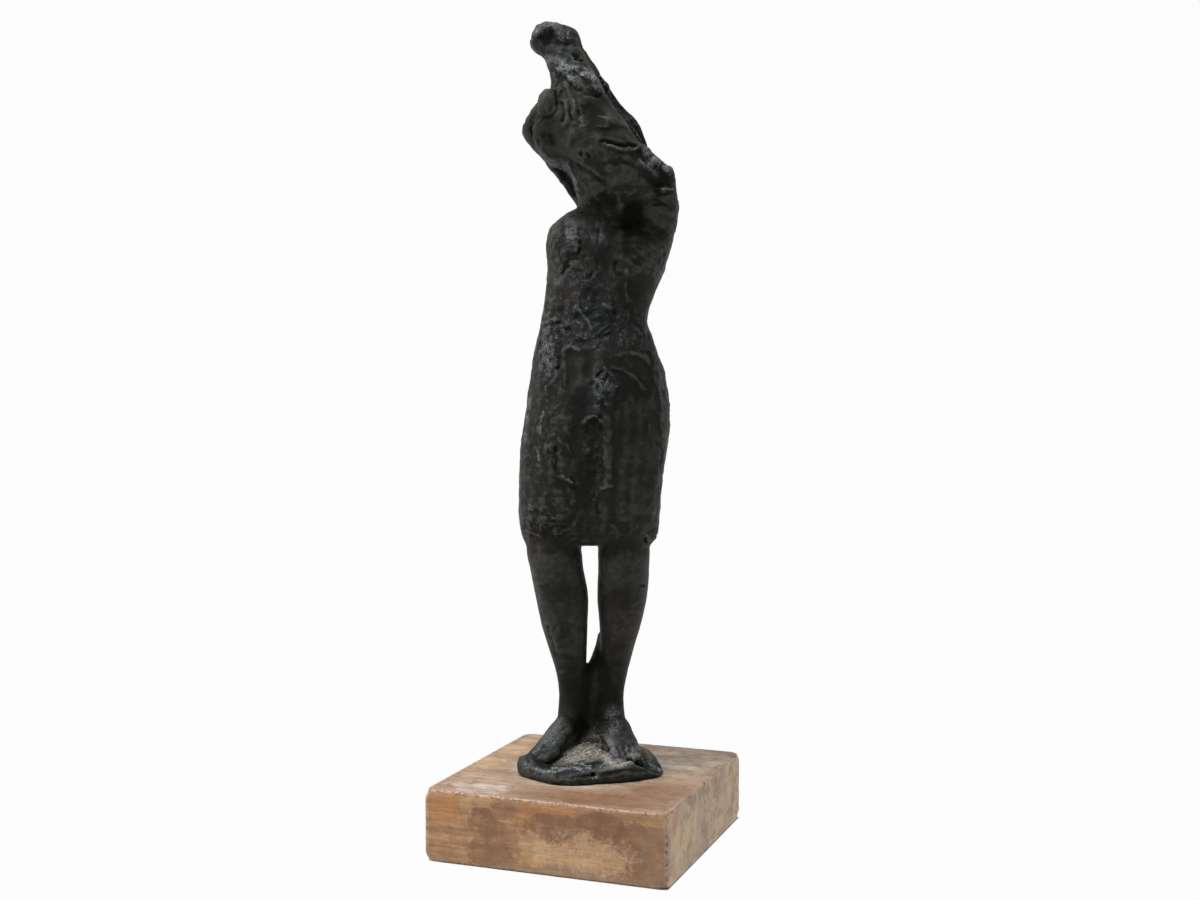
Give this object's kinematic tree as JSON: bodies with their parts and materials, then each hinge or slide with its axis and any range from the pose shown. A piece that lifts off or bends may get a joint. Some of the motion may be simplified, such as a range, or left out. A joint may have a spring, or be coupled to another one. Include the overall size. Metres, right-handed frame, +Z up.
{
  "type": "female figure",
  "caption": "Small dark cast bronze of a barefoot woman in a close dress drawing a cloth over her head, on a square wooden block.",
  "frame": {"origin": "middle of the wooden block's underside", "axes": "+Z up along the standing figure, -Y out of the block's front face, +X to the right seen from the front; the figure is turned about 21 degrees from -Y towards +X"},
  "size_m": [0.12, 0.12, 0.3989],
  "materials": {
    "bronze": "rough modelled bronze with a nearly black green-grey patina, satin on the ridges and dusty in the hollows",
    "wood": "worn waxed brown wood, streaked and stained, with pale rubbed edges"
  },
  "bodies": {
    "root": {"figure": "bronze", "wooden_block": "wood"}
  },
  "joints": []
}
